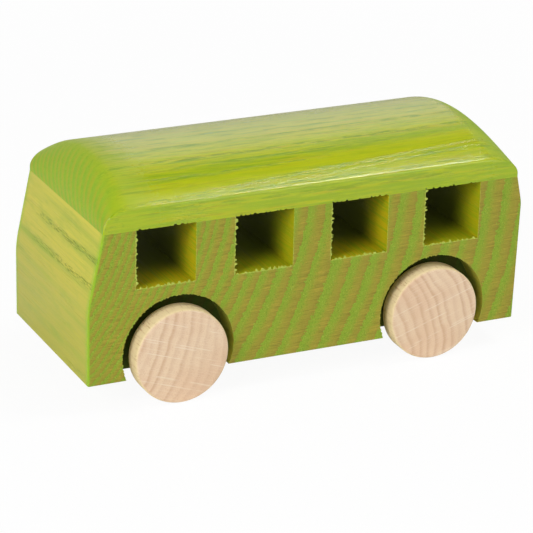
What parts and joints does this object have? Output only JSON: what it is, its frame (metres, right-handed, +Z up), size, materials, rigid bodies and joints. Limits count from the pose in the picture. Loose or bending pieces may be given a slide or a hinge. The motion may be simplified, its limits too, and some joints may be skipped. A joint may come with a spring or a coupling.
{
  "type": "toy bus",
  "caption": "Wooden push-along toy bus: stained ash block with open window slots, glued domed roof board and plain beech wheels on free-turning dowel axles.",
  "frame": {"origin": "on the ground, under the middle of the bus's bounding box", "axes": "+X towards the front of the bus, +Y towards its left side, +Z up"},
  "size_m": [0.147, 0.0692, 0.0723],
  "materials": {
    "stained_ash": "green stain, matte, open grain",
    "lacquered_ash": "lime green stain, semi-gloss lacquer",
    "beech": "bare sanded beech",
    "beech_dowel": "bare dowel"
  },
  "bodies": {
    "body": {"body_block": "stained_ash", "roof_board": "lacquered_ash"},
    "front_wheelset": {"front_axle": "beech_dowel", "front_left_wheel": "beech", "front_right_wheel": "beech"},
    "rear_wheelset": {"rear_axle": "beech_dowel", "rear_left_wheel": "beech", "rear_right_wheel": "beech"}
  },
  "joints": [
    {"name": "front_roll", "type": "hinge", "parent": "body", "child": "front_wheelset", "pos_m": [0.0441, 0, 0.0152], "axis": [0, 1, 0], "continuous": true},
    {"name": "rear_roll", "type": "hinge", "parent": "body", "child": "rear_wheelset", "pos_m": [-0.0429, 0, 0.0152], "axis": [0, 1, 0], "continuous": true}
  ]
}
